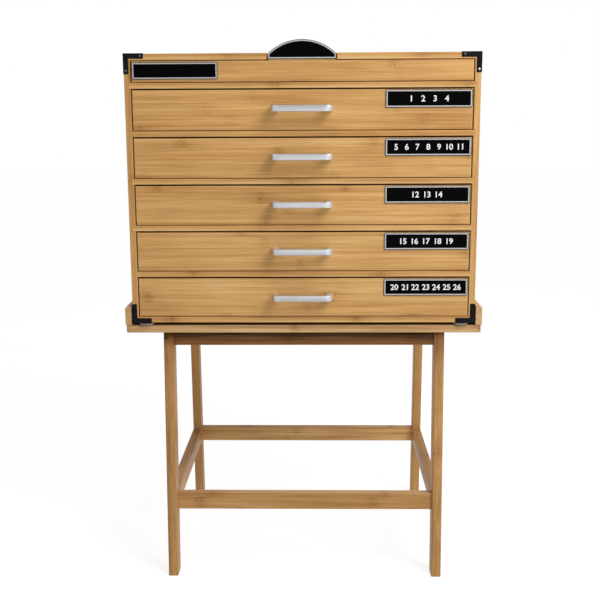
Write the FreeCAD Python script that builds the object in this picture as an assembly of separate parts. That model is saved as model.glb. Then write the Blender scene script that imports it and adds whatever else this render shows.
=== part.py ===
"""A bamboo chest of drawers on its own splayed-leg stand, in millimetres.

The chest has five equal drawers with aluminium pulls and label plates, and a shallow
index drawer at the top that is drawn out by a domed tab. It stands loose on the stand's
tray, between two side rails. X runs across the front, Y runs from the front to the back
and Z is up. The origin is on the floor, in the middle of the whole piece.
"""
import FreeCAD, Part
import math
import os

from FreeCAD import Vector

# Chest
chest_width = 500.0
chest_depth = 400.0
side_board = 9.0
top_board = 9.0
bottom_board = 9.0
shelf_board = 8.0
back_panel = 5.0
drawer_count = 5
drawer_opening = 59.0
index_opening = 31.0
shelf_housing = 3.0      # depth of the grooves that hold the shelves
corner_rebate = 5.0      # how far the top and the bottom reach into the sides
back_rebate = 5.0        # how far the back panel reaches into the sides
board_ease = 0.6         # broken edge of every sawn board

# Drawers
drawer_side_gap = 1.6
drawer_top_gap = 2.0
index_top_gap = 1.2
front_lift = 1.0         # gap under a drawer front
running_gap = 0.3        # gap under a drawer's side boards
drawer_back_gap = 6.0
front_board = 10.0
front_lip = 4.0          # wood left in front of the rebates that take the drawer sides
box_board = 7.0
box_headroom = 7.0       # how far the drawer sides stay below the front's top edge
index_box_headroom = 3.0
drawer_floor_board = 4.0
drawer_floor_rise = 5.0  # side board left under the floor panel
index_floor_rise = 3.0
floor_groove = 3.5
back_housing = 3.5

# Pulls
pull_length = 86.0
pull_hole_spacing = 76.0
pull_reach = 24.0
pull_height = 9.0
pull_bar = 4.5
pull_post = 10.0
pull_outer_round = 9.0
pull_inner_round = 6.0
pull_rise = 1.9          # height of a pull above the middle of its drawer front
pull_screw_radius = 2.0
pull_screw_grip = 9.0    # screw length inside the pull's post
pull_screw_head_radius = 4.0
pull_screw_head = 2.6
screw_slack = 0.2
thread_slack = 0.05

# Label plates
label_length = 121.0
label_height = 24.6
badge_length = 120.0
badge_height = 23.2
plate_thickness = 1.4
plate_border = 2.4
plate_recess = 0.5
plate_corner = 0.7       # its corners are clipped
label_margin = 1.0       # from a plate's end to the end of its drawer front
label_drop = 0.9         # from a front's top edge to its label
badge_drop = 1.8

# Domed tab of the index drawer
dome_width = 95.6
dome_side = 7.4          # straight ends of the dome plate
dome_rise = 19.3         # arch above the straight ends
dome_lift = 1.7          # bottom of the dome plate above the index front's top edge
tab_inset = 1.2          # wood kept inside the plate's outline
notch_gap = 1.5

# Corner guards and bumper feet
guard_thickness = 0.6
guard_reach = 28.5
guard_width = 7.5
guard_flange = 8.0
guard_ease = 0.3
foot_radius = 11.0
foot_height = 3.2
foot_taper = 2.0
foot_from_side = 20.0
foot_from_front = 3.0
foot_seat_gap = 0.3

# Stand
tray_board = 11.0
tray_height = 396.0      # floor to the underside of the tray
chest_setback = 2.0
tray_behind = 13.0       # tray left behind the chest
rail_board = 9.0
rail_height = 27.4
rail_round = 2.0
rail_gap = 1.0
rail_overhang = 1.4      # the rails stand proud of the tray board, eased off at their foot
stand_ease = 1.0
leg_spread = 425.6       # across the outer faces of the legs
leg_width = 15.0
leg_depth = 28.0
leg_inset = 47.0         # tray edge to the face of a leg, at its top
leg_splay = 3.2          # degrees
leg_ease = 1.5
apron_height = 31.0
apron_board = 15.0
apron_recess = 5.8
stretcher_height = 26.0
stretcher_board = 15.0
stretcher_recess = 5.0
stretcher_base = 106.4   # floor to the underside of the stretchers

# Knock-down bolts and barrel nuts
bolt_radius = 2.5
bolt_length = 50.0
bolt_head_radius = 4.25
bolt_head = 4.0
bolt_sink = 5.0          # depth of the counterbore in the leg
barrel_radius = 4.0
barrel_length = 10.0
barrel_bite = 2.0        # how far the bolt's tip passes the middle of its barrel nut

# Heights and planes worked out from the sizes above
floor_z = 0.0
tray_top = tray_height + tray_board
chest_bottom = tray_top + foot_seat_gap + foot_height
first_floor = chest_bottom + bottom_board
drawer_pitch = drawer_opening + shelf_board
index_floor = first_floor + drawer_count * drawer_pitch
top_underside = index_floor + index_opening
chest_top = top_underside + top_board
chest_middle = (chest_bottom + chest_top) / 2

tray_depth = chest_setback + chest_depth + tray_behind
half_depth = (pull_reach - chest_setback + tray_depth) / 2
chest_front = pull_reach - half_depth
chest_back = chest_front + chest_depth
panel_front = chest_back - back_panel
tray_front = chest_front - chest_setback
tray_back = tray_front + tray_depth

half_chest = chest_width / 2
inner_half = half_chest - side_board
front_half = inner_half - drawer_side_gap
rail_inner = half_chest + guard_thickness + rail_gap
rail_outer = rail_inner + rail_board
leg_outer = leg_spread / 2
leg_inner = leg_outer - leg_width
box_back = panel_front - drawer_back_gap


def box(xs, ys, zs):
    """A plain block between pairs of limits."""
    corner = Vector(xs[0], ys[0], zs[0])
    return Part.makeBox(xs[1] - xs[0], ys[1] - ys[0], zs[1] - zs[0], corner)


def edges_along(shape, axis):
    """The straight edges that run along one axis."""
    direction = {"X": Vector(1, 0, 0), "Y": Vector(0, 1, 0), "Z": Vector(0, 0, 1)}[axis]
    found = []
    for edge in shape.Edges:
        run = edge.Vertexes[-1].Point - edge.Vertexes[0].Point
        if run.Length > 0 and run.cross(direction).Length < 1e-6 * run.Length:
            found.append(edge)
    return found


def board(xs, ys, zs, along, ease=board_ease):
    """A sawn board with its four long edges broken."""
    blank = box(xs, ys, zs)
    return blank.makeChamfer(ease, edges_along(blank, along))


def rod(radius, length, start, direction):
    return Part.makeCylinder(radius, length, start, direction)


def mirrored_x(shape):
    """The left-hand twin of a right-hand piece."""
    return shape.mirror(Vector(0, 0, 0), Vector(1, 0, 0))


def mirrored_y(shape, plane_y):
    return shape.mirror(Vector(0, plane_y, 0), Vector(0, 1, 0))


def mirrored_z(shape, plane_z):
    return shape.mirror(Vector(0, 0, plane_z), Vector(0, 0, 1))


def prism_x(points, xs):
    """A side profile of (y, z) points, carried across from one X to the other."""
    corners = [Vector(xs[0], y, z) for y, z in points]
    outline = Part.makePolygon(corners + corners[:1])
    return Part.Face(outline).extrude(Vector(xs[1] - xs[0], 0, 0))


# Stand


def leg_face(z):
    """Y of the front face of the front legs at a height: they lean forward downwards."""
    return tray_front + leg_inset - (tray_height - z) * math.tan(math.radians(leg_splay))


def rear_leg_face(z):
    """Y of the inner face of the rear legs, which lean the other way."""
    return tray_front + tray_back - leg_face(z) - leg_depth


def crossbar_seat(base, height, recess, thickness):
    """Front and back plane of a bar between the front legs, set back from their faces."""
    front = leg_face(base + height / 2) + recess
    return (front, front + thickness)


apron_zs = (tray_height - apron_height, tray_height)
apron_ys = crossbar_seat(apron_zs[0], apron_height, apron_recess, apron_board)
stretcher_zs = (stretcher_base, stretcher_base + stretcher_height)
stretcher_ys = crossbar_seat(stretcher_base, stretcher_height, stretcher_recess, stretcher_board)
stand_middle = (tray_front + tray_back) / 2


def joint_centres():
    """Y and Z of the bolts that hold the crossbars to one front leg."""
    centres = []
    for ys, zs in ((apron_ys, apron_zs), (stretcher_ys, stretcher_zs)):
        centres.append((sum(ys) / 2, sum(zs) / 2))
    return centres


def make_leg():
    """Front right leg: a leaning bar cut level at both ends, counterbored for two bolts."""
    top, foot = leg_face(tray_height), leg_face(floor_z)
    low_corners = [(foot, floor_z), (foot + leg_depth, floor_z)]
    high_corners = [(top + leg_depth, tray_height), (top, tray_height)]
    leg = prism_x(low_corners + high_corners, (leg_inner, leg_outer))
    long_edges = [edge for edge in leg.Edges if edge.Length > tray_height - 1]
    leg = leg.makeChamfer(leg_ease, long_edges)
    for y, z in joint_centres():
        inward = Vector(-1, 0, 0)
        head_room = rod(bolt_head_radius + screw_slack, bolt_sink, Vector(leg_outer, y, z), inward)
        shank_room = rod(bolt_radius + screw_slack, leg_width, Vector(leg_outer, y, z), inward)
        leg = leg.cut(head_room.fuse(shank_room))
    return leg


def make_crossbar(ys, zs):
    """A bar between two legs, bored at both ends for a bolt and from below for its barrel nut."""
    bar = board((-leg_inner, leg_inner), ys, zs, "X", stand_ease)
    y, z = sum(ys) / 2, sum(zs) / 2
    for side in (-1, 1):
        bore_start = Vector(side * leg_inner, y, z)
        bore = rod(bolt_radius + screw_slack, leg_inner - barrel_x(), bore_start, Vector(-side, 0, 0))
        room_start = Vector(side * barrel_x(), y, z + barrel_length / 2)
        room_depth = room_start.z - zs[0]
        barrel_room = rod(barrel_radius + thread_slack, room_depth, room_start, Vector(0, 0, -1))
        bar = bar.cut(bore.fuse(barrel_room))
    return bar


def make_side_bar(zs):
    """A right-hand bar between front and rear legs, its ends cut to their lean."""
    low, high = zs
    points = [
        (leg_face(low) + leg_depth, low),
        (rear_leg_face(low), low),
        (rear_leg_face(high), high),
        (leg_face(high) + leg_depth, high),
    ]
    bar = prism_x(points, (leg_inner, leg_outer))
    return bar.makeChamfer(stand_ease, edges_along(bar, "Y"))


def make_tray():
    half_tray = rail_outer - rail_overhang
    tray = box((-half_tray, half_tray), (tray_front, tray_back), (tray_height, tray_top))
    return tray.makeChamfer(stand_ease, tray.Edges)


def make_rail():
    """Right-hand side rail of the tray, rounded at the top and eased in to the board below."""
    rail = box((rail_inner, rail_outer), (tray_front, tray_back), (tray_top, tray_top + rail_height))
    top_edges = [edge for edge in edges_along(rail, "Y") if edge.BoundBox.ZMin > tray_top + 1]
    rail = rail.makeFillet(rail_round, top_edges)
    foot_edges = []
    for edge in edges_along(rail, "Y"):
        if edge.BoundBox.ZMax < tray_top + 1e-6 and edge.BoundBox.XMin > rail_outer - 1e-6:
            foot_edges.append(edge)
    return rail.makeChamfer(rail_overhang, foot_edges)


def socket_bolt(y, z):
    """A cap-head bolt through the right-hand leg, pointing inwards."""
    seat = leg_outer - bolt_sink
    head = rod(bolt_head_radius, bolt_head, Vector(seat, y, z), Vector(1, 0, 0))
    return head.fuse(rod(bolt_radius, bolt_length, Vector(seat, y, z), Vector(-1, 0, 0)))


def barrel_x():
    """X of the right-hand barrel nuts' middle."""
    return leg_outer - bolt_sink - bolt_length + barrel_bite


def barrel_nut(y, z):
    """The cross dowel that takes the bolt's thread inside the bar."""
    start = Vector(barrel_x(), y, z - barrel_length / 2)
    barrel = rod(barrel_radius, barrel_length, start, Vector(0, 0, 1))
    thread_start = Vector(barrel_x() - barrel_bite - thread_slack, y, z)
    thread = rod(bolt_radius + thread_slack, 2 * barrel_radius, thread_start, Vector(1, 0, 0))
    return barrel.cut(thread)


def at_all_legs(make_piece):
    """Both pieces of the front right leg, and their twins at the other three legs."""
    right = [make_piece(y, z) for y, z in joint_centres()]
    right = right + [mirrored_y(solid, stand_middle) for solid in right]
    return Part.makeCompound(right + [mirrored_x(solid) for solid in right])


# Chest


def shelf_levels():
    """Underside of each shelf, from the one under the index drawer downwards."""
    return [index_floor - shelf_board - i * drawer_pitch for i in range(drawer_count)]


def make_chest_side():
    """Right-hand side board with its shelf grooves, corner rebates and back rebate."""
    side = board((inner_half, half_chest), (chest_front, chest_back), (chest_bottom, chest_top), "Z")
    whole_depth = (chest_front, chest_back)
    rebate = (inner_half, inner_half + corner_rebate)
    side = side.cut(box(rebate, whole_depth, (chest_bottom, chest_bottom + bottom_board)))
    side = side.cut(box(rebate, whole_depth, (chest_top - top_board, chest_top)))
    back_groove = (inner_half, inner_half + back_rebate)
    side = side.cut(box(back_groove, (panel_front, chest_back), (chest_bottom, chest_top)))
    for level in shelf_levels():
        groove = (inner_half, inner_half + shelf_housing)
        side = side.cut(box(groove, (chest_front, panel_front), (level, level + shelf_board)))
    return side


def make_shelf(level):
    reach = inner_half + shelf_housing
    return board((-reach, reach), (chest_front, panel_front), (level, level + shelf_board), "X")


def make_chest_bottom():
    reach = inner_half + corner_rebate
    zs = (chest_bottom, chest_bottom + bottom_board)
    return board((-reach, reach), (chest_front, panel_front), zs, "X")


def make_chest_top():
    """Top board, notched at the middle of its front edge for the index drawer's tab."""
    reach = inner_half + corner_rebate
    top = board((-reach, reach), (chest_front, panel_front), (top_underside, chest_top), "X")
    half_notch = dome_width / 2 + notch_gap
    notch_back = chest_front + front_board + notch_gap
    notch = box((-half_notch, half_notch), (chest_front, notch_back), (top_underside, chest_top))
    inner_corners = [edge for edge in edges_along(notch, "Z") if edge.BoundBox.YMax > notch_back - 1]
    return top.cut(notch.makeFillet(notch_gap, inner_corners))


def make_back_panel():
    reach = inner_half + back_rebate
    return box((-reach, reach), (panel_front, chest_back), (chest_bottom, chest_top))


def make_corner_guard():
    """Top right guard: an L on the front with a flange over the side and one over the top."""
    front_y = chest_front - guard_thickness
    side_x = half_chest + guard_thickness
    cap_z = chest_top + guard_thickness
    reach_xs = (side_x - guard_reach, side_x)
    reach_zs = (cap_z - guard_reach, cap_z)
    flange_ys = (front_y, chest_front + guard_flange)
    upright = box((side_x - guard_width, side_x), (front_y, chest_front), reach_zs)
    level = box(reach_xs, (front_y, chest_front), (cap_z - guard_width, cap_z))
    side_flange = box((half_chest, side_x), flange_ys, reach_zs)
    top_flange = box(reach_xs, flange_ys, (chest_top, cap_z))
    guard = upright.fuse([level, side_flange, top_flange]).removeSplitter()
    folds = []
    for edge in guard.Edges:
        span = edge.BoundBox
        on_side = span.XMin > side_x - 1e-6
        on_cap = span.ZMin > cap_z - 1e-6
        on_front = span.YMax < front_y + 1e-6
        if on_side + on_cap + on_front >= 2:
            folds.append(edge)
    guard = guard.makeChamfer(guard_ease, folds)
    return guard


def at_four_corners(shape):
    """A top right piece and its twins at the other three corners of the front."""
    right = [shape, mirrored_z(shape, chest_middle)]
    return right + [mirrored_x(solid) for solid in right]


def bumper_foot(x, y):
    """A soft round foot, coned in to a flat sole."""
    start, down = Vector(x, y, chest_bottom), Vector(0, 0, -1)
    return Part.makeCone(foot_radius, foot_radius - foot_taper, foot_height, start, down)


def make_bumper_feet():
    """Four feet. The front ones are stepped over the flanges of the lower corner guards."""
    x = half_chest - foot_from_side
    step = box(
        (x - 2 * foot_radius, x + 2 * foot_radius),
        (chest_front - 2 * foot_radius, chest_front + guard_flange),
        (chest_bottom - guard_thickness, chest_bottom + 1),
    )
    front_foot = bumper_foot(x, chest_front + foot_from_front).cut(step)
    rear_foot = bumper_foot(x, chest_back - foot_from_side)
    return Part.makeCompound([front_foot, mirrored_x(front_foot), rear_foot, mirrored_x(rear_foot)])


# Drawers


def front_limits(floor, opening, top_gap):
    """Bottom and top of a drawer front in its opening."""
    return (floor + front_lift, floor + opening - top_gap)


def make_front(zs, floor, rise):
    """A drawer front with rebated ends for the side boards and a groove for the floor panel."""
    front = box((-front_half, front_half), (chest_front, chest_front + front_board), zs)
    face_edges = [edge for edge in front.Edges if edge.BoundBox.YMax < chest_front + 1]
    front = front.makeChamfer(board_ease, face_edges)
    rebate_ys = (chest_front + front_lip, chest_front + front_board)
    for side in (-1, 1):
        ends = sorted((side * front_half, side * (front_half - box_board)))
        front = front.cut(box(ends, rebate_ys, (zs[0], zs[1])))
    inner = front_half - box_board
    groove_ys = (chest_front + front_board - floor_groove, chest_front + front_board)
    groove_zs = floor_panel_limits(floor, rise)
    return front.cut(box((-inner, inner), groove_ys, groove_zs))


def floor_panel_limits(floor, rise):
    """Underside and top of a drawer's floor panel."""
    low = floor + running_gap + rise
    return (low, low + drawer_floor_board)


def make_drawer_box(floor, top, rise):
    """Two side boards and a back board, joined in shallow rebates, as three solids."""
    ys = (chest_front + front_lip, box_back)
    inner = front_half - box_board
    groove_zs = floor_panel_limits(floor, rise)
    side = board((inner, front_half), ys, (floor + running_gap, top), "Y")
    side = side.cut(box((inner, inner + floor_groove), ys, groove_zs))
    reach = inner + back_housing
    back_ys = (box_back - box_board, box_back)
    side = side.cut(box((inner, reach), back_ys, (groove_zs[1], top)))
    back = board((-reach, reach), back_ys, (groove_zs[1], top), "X")
    return Part.makeCompound([side, mirrored_x(side), back])


def make_drawer_floor(floor, rise):
    """A floor panel that slides in from behind, under the back board."""
    reach = front_half - box_board + floor_groove
    ys = (chest_front + front_board - floor_groove, box_back)
    return box((-reach, reach), ys, floor_panel_limits(floor, rise))


def make_pull_bar(height):
    """A bow pull: outer outline less the finger opening, both with rounded corners."""
    half, reach_y = pull_length / 2, chest_front - pull_reach
    zs = (height - pull_height / 2, height + pull_height / 2)
    outer = box((-half, half), (reach_y, chest_front), zs)
    outer_corners = [edge for edge in edges_along(outer, "Z") if edge.BoundBox.YMax < reach_y + 1]
    outer = outer.makeFillet(pull_outer_round, outer_corners)
    opening_half = pull_hole_spacing / 2 - pull_post / 2
    bar_back = reach_y + pull_bar
    inner = box((-opening_half, opening_half), (bar_back, chest_front), zs)
    inner_corners = [edge for edge in edges_along(inner, "Z") if edge.BoundBox.YMax < bar_back + 1]
    inner = inner.makeFillet(pull_inner_round, inner_corners)
    bow = outer.cut(inner)
    for x in pull_screw_centres():
        mouth = Vector(x, chest_front, height)
        socket_depth = pull_screw_grip + screw_slack
        bow = bow.cut(rod(pull_screw_radius + thread_slack, socket_depth, mouth, Vector(0, -1, 0)))
    return bow


def pull_screw_centres():
    return (-pull_hole_spacing / 2, pull_hole_spacing / 2)


def pull_screw(x, height):
    """A pan-head screw from inside the drawer, through the front into the pull's post."""
    seat = chest_front + front_board
    start = Vector(x, seat, height)
    head = rod(pull_screw_head_radius, pull_screw_head, start, Vector(0, 1, 0))
    shank = rod(pull_screw_radius, front_board + pull_screw_grip, start, Vector(0, -1, 0))
    return head.fuse(shank)


def bored_for_pull(front, height):
    """A drawer front with its two screw holes."""
    for x in pull_screw_centres():
        start = Vector(x, chest_front, height)
        front = front.cut(rod(pull_screw_radius + screw_slack, front_board, start, Vector(0, 1, 0)))
    return front


def make_plate(xs, zs):
    """A label plate lying on a drawer front: a raised border round a sunk field."""
    plate = box(xs, (chest_front - plate_thickness, chest_front), zs)
    plate = plate.makeChamfer(plate_corner, edges_along(plate, "Y"))
    field_xs = (xs[0] + plate_border, xs[1] - plate_border)
    field_zs = (zs[0] + plate_border, zs[1] - plate_border)
    field_ys = (chest_front - plate_thickness, chest_front - plate_thickness + plate_recess)
    return plate.cut(box(field_xs, field_ys, field_zs))


def dome_outline(base, inset, y):
    """A level base, two short upright ends and an arch, drawn in by the same inset all round."""
    half = dome_width / 2
    arch_radius = (half ** 2 + dome_rise ** 2) / (2 * dome_rise)
    centre_z = base + dome_side + dome_rise - arch_radius
    reach = half - inset
    radius = arch_radius - inset
    shoulder = centre_z + math.sqrt(radius ** 2 - reach ** 2)
    low = base + inset
    left_foot, right_foot = Vector(-reach, y, low), Vector(reach, y, low)
    left_top, right_top = Vector(-reach, y, shoulder), Vector(reach, y, shoulder)
    crown = Vector(0, y, centre_z + radius)
    return Part.Wire([
        Part.makeLine(left_foot, right_foot),
        Part.makeLine(right_foot, right_top),
        Part.Arc(right_top, crown, left_top).toShape(),
        Part.makeLine(left_top, left_foot),
    ])


def make_dome_plate(base):
    """The arched plate on the index drawer's tab, with the same border and field as the labels."""
    outer = Part.Face(dome_outline(base, 0.0, chest_front)).extrude(Vector(0, -plate_thickness, 0))
    field_start = chest_front - plate_thickness + plate_recess
    field = Part.Face(dome_outline(base, plate_border, field_start)).extrude(Vector(0, -plate_recess, 0))
    return outer.cut(field)


def make_index_front(zs):
    """The index drawer's front, with the domed tab that stands up through the top board's notch."""
    front = make_front(zs, index_floor, index_floor_rise)
    plate_base = zs[1] + dome_lift
    tab = Part.Face(dome_outline(plate_base, tab_inset, chest_front)).extrude(Vector(0, front_board, 0))
    neck_half = dome_width / 2 - tab_inset
    neck_zs = (zs[1] - board_ease, plate_base + tab_inset)
    neck = box((-neck_half, neck_half), (chest_front, chest_front + front_board), neck_zs)
    return front.fuse([tab, neck]).removeSplitter()


# Everything as named pieces

pieces = {}


def add_with_twin(name, shape):
    pieces[name + "_right"] = shape
    pieces[name + "_left"] = mirrored_x(shape)


def add_with_rear(name, shape):
    pieces[name + "_front"] = shape
    pieces[name + "_rear"] = mirrored_y(shape, stand_middle)


pieces["tray_board"] = make_tray()
add_with_twin("tray_rail", make_rail())
front_leg = make_leg()
add_with_twin("leg_front", front_leg)
add_with_twin("leg_rear", mirrored_y(front_leg, stand_middle))
add_with_rear("apron", make_crossbar(apron_ys, apron_zs))
add_with_rear("stretcher", make_crossbar(stretcher_ys, stretcher_zs))
add_with_twin("apron", make_side_bar(apron_zs))
add_with_twin("stretcher", make_side_bar(stretcher_zs))
pieces["stand_bolts"] = at_all_legs(socket_bolt)
pieces["barrel_nuts"] = at_all_legs(barrel_nut)

add_with_twin("chest_side", make_chest_side())
pieces["chest_top"] = make_chest_top()
pieces["chest_bottom"] = make_chest_bottom()
pieces["chest_back_panel"] = make_back_panel()
for number, level in enumerate(shelf_levels(), start=1):
    pieces["shelf_%d" % number] = make_shelf(level)
pieces["corner_guards"] = Part.makeCompound(at_four_corners(make_corner_guard()))
pieces["bumper_feet"] = make_bumper_feet()

for number, shelf_level in enumerate(shelf_levels(), start=1):
    floor = shelf_level - drawer_opening
    limits = front_limits(floor, drawer_opening, drawer_top_gap)
    height = sum(limits) / 2 + pull_rise
    name = "drawer_%d" % number
    pieces[name + "_front"] = bored_for_pull(make_front(limits, floor, drawer_floor_rise), height)
    pieces[name + "_box"] = make_drawer_box(floor, limits[1] - box_headroom, drawer_floor_rise)
    pieces[name + "_floor"] = make_drawer_floor(floor, drawer_floor_rise)
    screws = [pull_screw(x, height) for x in pull_screw_centres()]
    pieces[name + "_pull"] = Part.makeCompound([make_pull_bar(height)] + screws)
    label_right = front_half - label_margin
    label_top = limits[1] - label_drop
    label_xs = (label_right - label_length, label_right)
    pieces[name + "_label"] = make_plate(label_xs, (label_top - label_height, label_top))

index_limits = front_limits(index_floor, index_opening, index_top_gap)
pieces["index_drawer_front"] = make_index_front(index_limits)
index_box_top = index_limits[1] - index_box_headroom
pieces["index_drawer_box"] = make_drawer_box(index_floor, index_box_top, index_floor_rise)
pieces["index_drawer_floor"] = make_drawer_floor(index_floor, index_floor_rise)
badge_left = label_margin - front_half
badge_xs = (badge_left, badge_left + badge_length)
badge_top = index_limits[1] - badge_drop
pieces["index_badge"] = make_plate(badge_xs, (badge_top - badge_height, badge_top))
pieces["index_dome_plate"] = make_dome_plate(index_limits[1] + dome_lift)

os.makedirs("parts", exist_ok=True)
for name, shape in pieces.items():
    shape.exportStep("parts/%s.step" % name)
print(len(pieces), "pieces,", sum(len(shape.Solids) for shape in pieces.values()), "solids")
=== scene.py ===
import math

import bmesh
import bpy
import numpy as np
from mathutils import Matrix, Vector


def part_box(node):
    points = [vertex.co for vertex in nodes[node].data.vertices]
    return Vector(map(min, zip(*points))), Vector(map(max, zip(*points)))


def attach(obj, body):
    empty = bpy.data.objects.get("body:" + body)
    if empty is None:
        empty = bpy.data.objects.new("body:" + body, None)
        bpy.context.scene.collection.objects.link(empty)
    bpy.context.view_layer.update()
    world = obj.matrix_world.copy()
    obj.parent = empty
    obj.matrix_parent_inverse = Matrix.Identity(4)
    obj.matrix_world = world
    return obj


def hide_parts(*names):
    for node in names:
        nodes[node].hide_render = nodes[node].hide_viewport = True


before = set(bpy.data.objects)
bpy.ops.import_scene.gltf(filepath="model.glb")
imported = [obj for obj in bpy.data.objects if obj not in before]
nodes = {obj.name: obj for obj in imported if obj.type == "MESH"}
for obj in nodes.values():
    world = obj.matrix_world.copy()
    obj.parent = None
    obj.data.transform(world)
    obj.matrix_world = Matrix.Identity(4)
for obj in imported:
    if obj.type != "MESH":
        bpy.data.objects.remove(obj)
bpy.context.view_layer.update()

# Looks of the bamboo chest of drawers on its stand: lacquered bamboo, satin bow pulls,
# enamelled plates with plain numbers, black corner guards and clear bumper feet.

chest_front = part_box("chest_side_right")[0].y
MM = 0.001
DRAWERS = ["drawer_%d" % number for number in range(1, 6)]

# Camera, as fitted to the edges of the photograph
CAMERA_DISTANCE = 1.3884      # from the chest's front plane
CAMERA_X = 0.0236
CAMERA_HEIGHT = 0.7049
CAMERA_PITCH = 0.1855         # radians below the horizon
CAMERA_YAW = 0.0201
CAMERA_ROLL = -0.0049
CAMERA_LENS = 58.14           # mm on the sensor
SENSOR_WIDTH = 36.0
SIGHT_LIMIT = 50.0

# Lacquered bamboo: linear colours of the lightest and the darkest fibre
CHEST_LIGHT = (0.71, 0.415, 0.152)
CHEST_DARK = (0.43, 0.205, 0.062)
STAND_LIGHT = (0.57, 0.315, 0.115)
STAND_DARK = (0.33, 0.155, 0.050)
TRAY_LIGHT = (0.68, 0.44, 0.205)
TRAY_DARK = (0.31, 0.165, 0.062)
# Aprons: darkened with painted shade, as under the tray
SHADED_APRON_LIGHT = (0.36, 0.165, 0.050)
SHADED_APRON_DARK = (0.07, 0.027, 0.007)
# Rear stretcher and rear legs: lightened with painted light
LIT_REAR_LIGHT = (0.79, 0.48, 0.20)
LIT_REAR_LEG_DARK = (0.50, 0.265, 0.094)
# Paler fibre, and the colour of painted highlights
PALE_FIBRE_AND_HIGHLIGHT = (0.86, 0.62, 0.34)
DEEP_SHADE_COLOUR = (0.02, 0.009, 0.003)   # painted deep shade, near-black: faces deep in a gap, tops under the tray
WARM_TINT = (1.0, 0.90, 0.78)

# The same bamboo's figure. Cells are noise cells per metre along and across the grain
STRIP_WIDTH = 16.5 * MM
STRIP_WANDER = 0.12           # of a strip's width
WANDER_CELLS = 3.0
WANDER_STEP = 0.37            # shifts the figure from one board's seed to the next
STRIP_STEP = 0.61
FIBRE_SHIFT = 9.0             # most that a strip's fibres shift, in metres
NODE_SHIFT = 5.0              # most that its nodes shift, in node spacings
FIBRE_CELLS = (14.0, 720.0)
FIBRE_DETAIL = (3.0, 0.6)     # octaves, and how strong each is against the one before
STREAK_CELLS = (5.0, 260.0)
CLOUD_CELLS = (7.0, 14.0)
DASH_CELLS = (420.0, 900.0)
RAGGED_CELLS = 90.0
NODE_SPACING = 0.27           # along a strip, and the next three as shares of it
NODE_RAGGED = 0.06
NODE_REACH = 0.045
HALO_REACH = 0.12
DASH_RANGE = (0.42, 0.62)
SEAM_RANGE = (0.46, 0.495)    # from a strip's middle, as a share of its width

# What the figure adds to a board's shade, from 0 at the light colour
TONE_BASE = 0.18
TONE_SPREAD = 0.34
STREAK_WEIGHT = 2.1
FIBRE_WEIGHT = 1.8
CLOUD_WEIGHT = 1.3
SPOT_BASE = 0.2
SPOT_SPREAD = 1.25
FLECK_WEIGHT = -0.28
HALO_WEIGHT = 0.38
SEAM_WEIGHT = 0.16
SHADE_LOW = -0.5
SHADE_HIGH = 1.4
DEEP_SHADE_FULL = 2.6             # shade at which the painted deep shade is at its most
DEEP_SHADE_MOST = 0.75
DARK_GAIN = 0.75
PALE_GAIN = -0.8
WARM_SHARE = 0.35
WOOD_ROUGH = (0.22, 0.34)     # spread with the fibres, and base
WOOD_SPECULAR = 0.16
DEEP_SHADE_SPECULAR = -0.2        # added where deep shade is painted
NODE_RELIEF = 0.6
FIBRE_RELIEF = 0.5
SEAM_RELIEF = 0.5
WOOD_BUMP = (0.25, 0.3 * MM)  # strength and distance

# The other finishes. Tones are the darkest and the lightest colour, cells are noise cells
# per metre, rough is (spread with the noise, base) and bump is (strength, distance)
INPUT_NAMES = {
    "metallic": "Metallic", "specular": "Specular IOR Level", "transmission": "Transmission Weight",
}
PULL_TONES = (0.38, 0.385, 0.39), (0.46, 0.465, 0.47)
# Painted highlight where the pull bends back at its ends
PULL_BEND_HIGHLIGHT = (0.80, 0.81, 0.82)
PULL_HIGHLIGHT_RANGE = (31.0 * MM, 40.0 * MM)     # from the pull's middle
PULL_HIGHLIGHT_SHARE = 0.6
BRUSHED_CELLS = (60.0, 2500.0)               # along and across the brushing
SMEAR_CELLS = 90.0
WORN_DETAIL = (3.0, 0.6)                     # of stain and rubbing, as FIBRE_DETAIL
BRUSHED_ROUGH = (0.16, 0.24)
BRUSHED_BUMP = (0.08, 0.1 * MM)
PLATE_TONES = (0.30, 0.30, 0.30), (0.46, 0.46, 0.46)
CUT_EDGE = (0.02, 0.02, 0.02)
STAIN_CELLS = 220.0
STAIN_ROUGH = (0.25, 0.35)
STAIN_BUMP = (0.1, 0.1 * MM)
ENAMEL_TONES = (0.001, 0.001, 0.001), (0.003, 0.003, 0.003)
DUST_CELLS = 60.0
PEEL_CELLS = 700.0
ENAMEL_ROUGH = (0.2, 0.25)
PEEL_BUMP = (0.05, 0.1 * MM)
LACQUER_TONES = (0.004, 0.004, 0.005), (0.018, 0.018, 0.020)
RUB_CELLS = 130.0
RUB_RANGE = (0.52, 0.75)                     # of the noise, from lacquer to worn
RUB_ROUGH = (0.3, 0.2)
RUB_BUMP = (0.12, 0.2 * MM)

# Finishes that are one fine speckle: cells, tones, rough
SPECKLES = {
    "white_paint": (900.0, (0.86, 0.86, 0.85), (0.93, 0.93, 0.92), (0.2, 0.4)),
    "dark_steel": (400.0, (0.05, 0.05, 0.052), (0.16, 0.16, 0.165), (0.25, 0.2)),
    # The bumper's tones are lightened to stand in for its sheen: painted reflection
    "clear_bumper_and_sheen": (180.0, (0.26, 0.22, 0.195), (0.38, 0.33, 0.30), (0.15, 0.2)),
    "zinc_steel": (500.0, (0.46, 0.46, 0.47), (0.62, 0.62, 0.63), (0.25, 0.25)),
}

# Pulls, as the CAD part has them
PULL_OUTER_ROUND = 9.0 * MM
PULL_INNER_ROUND = 6.0 * MM
PULL_POST = 10.0 * MM
PULL_BAR = 4.5 * MM
PULL_EDGE_ROUND = 1.0 * MM
SECTION_POINTS = 6            # on each rounded corner of the section
POST_POINTS = 7
BEND_POINTS = 12
BAR_POINTS = 15
SCREW_FROM_MIDDLE = 38.0 * MM

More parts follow.
